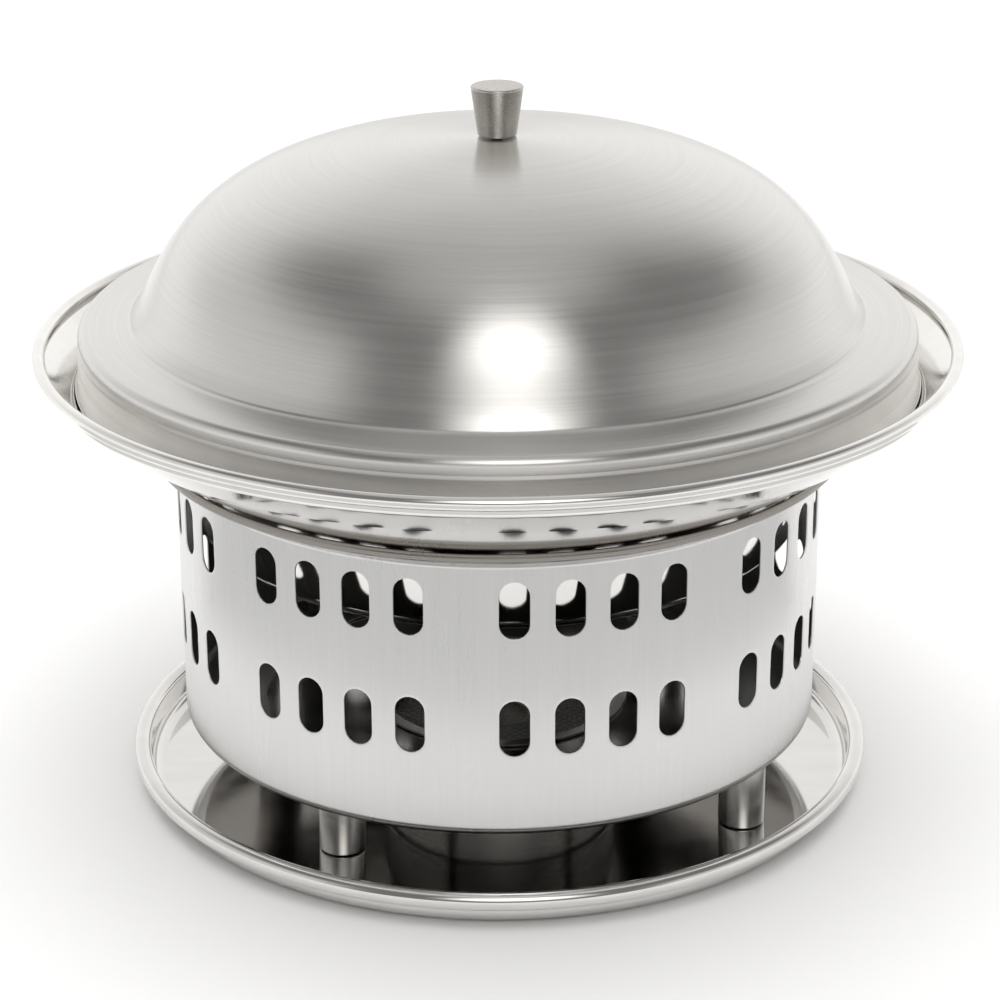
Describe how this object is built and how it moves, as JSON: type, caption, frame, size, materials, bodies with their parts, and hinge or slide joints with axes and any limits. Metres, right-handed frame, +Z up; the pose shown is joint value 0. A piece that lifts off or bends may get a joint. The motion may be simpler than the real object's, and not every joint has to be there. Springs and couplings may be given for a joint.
{
  "type": "table-top burner pot",
  "caption": "Round lidded pan with a flared rim, hung in a slotted sheet-steel stove drum that stands on short turned feet in a shallow drip tray; a fuel cup hangs in the stove's base.",
  "frame": {"origin": "centre of the drip tray's underside", "axes": "+Z up the pot's axis; the pot's front faces -Y, and angles around it are counted from there"},
  "size_m": [0.28, 0.28, 0.2173],
  "materials": {
    "tray_steel": "mirror-polished floor, satin rolled rim",
    "drum_steel": "fine vertical satin grain",
    "plate_steel": "bright mill finish",
    "foot_steel": "turned and polished",
    "fastener_steel": "plain stainless fasteners",
    "burner_steel": "dull satin",
    "wick_fibre": "off-white mineral fibre",
    "gauze_wire": "woven wire, slightly dulled by heat",
    "pan_steel": "polished, satin on the rim band",
    "lid_steel": "soft satin with a fine circular grain",
    "knob_steel": "bead-blasted satin side, smoother top"
  },
  "bodies": {
    "tray": {"drip_tray": "tray_steel"},
    "stove": {"stove_drum": "drum_steel", "stove_base_plate": "plate_steel", "foot_1": "foot_steel", "foot_2": "foot_steel", "foot_3": "foot_steel", "foot_4": "foot_steel", "foot_washer_1": "fastener_steel", "foot_washer_2": "fastener_steel", "foot_washer_3": "fastener_steel", "foot_washer_4": "fastener_steel", "foot_screw_1": "fastener_steel", "foot_screw_2": "fastener_steel", "foot_screw_3": "fastener_steel", "foot_screw_4": "fastener_steel"},
    "burner": {"burner_cup": "burner_steel", "burner_wick_pad": "wick_fibre", "burner_gauze": "gauze_wire", "burner_ring": "burner_steel"},
    "pan_body": {"pan": "pan_steel"},
    "lid_body": {"lid": "lid_steel", "lid_knob": "knob_steel", "lid_knob_washer": "fastener_steel", "lid_knob_screw": "fastener_steel"}
  },
  "joints": [
    {"name": "stove_lift", "type": "slide", "parent": "tray", "child": "stove", "axis": [0, 0, 1], "range_m": [0, 0.04]},
    {"name": "burner_lift", "type": "slide", "parent": "stove", "child": "burner", "axis": [0, 0, 1], "range_m": [0, 0.03]},
    {"name": "pan_lift", "type": "slide", "parent": "stove", "child": "pan_body", "axis": [0, 0, 1], "range_m": [0, 0.04]},
    {"name": "lid_lift", "type": "slide", "parent": "pan_body", "child": "lid_body", "axis": [0, 0, 1], "range_m": [0, 0.04]}
  ]
}
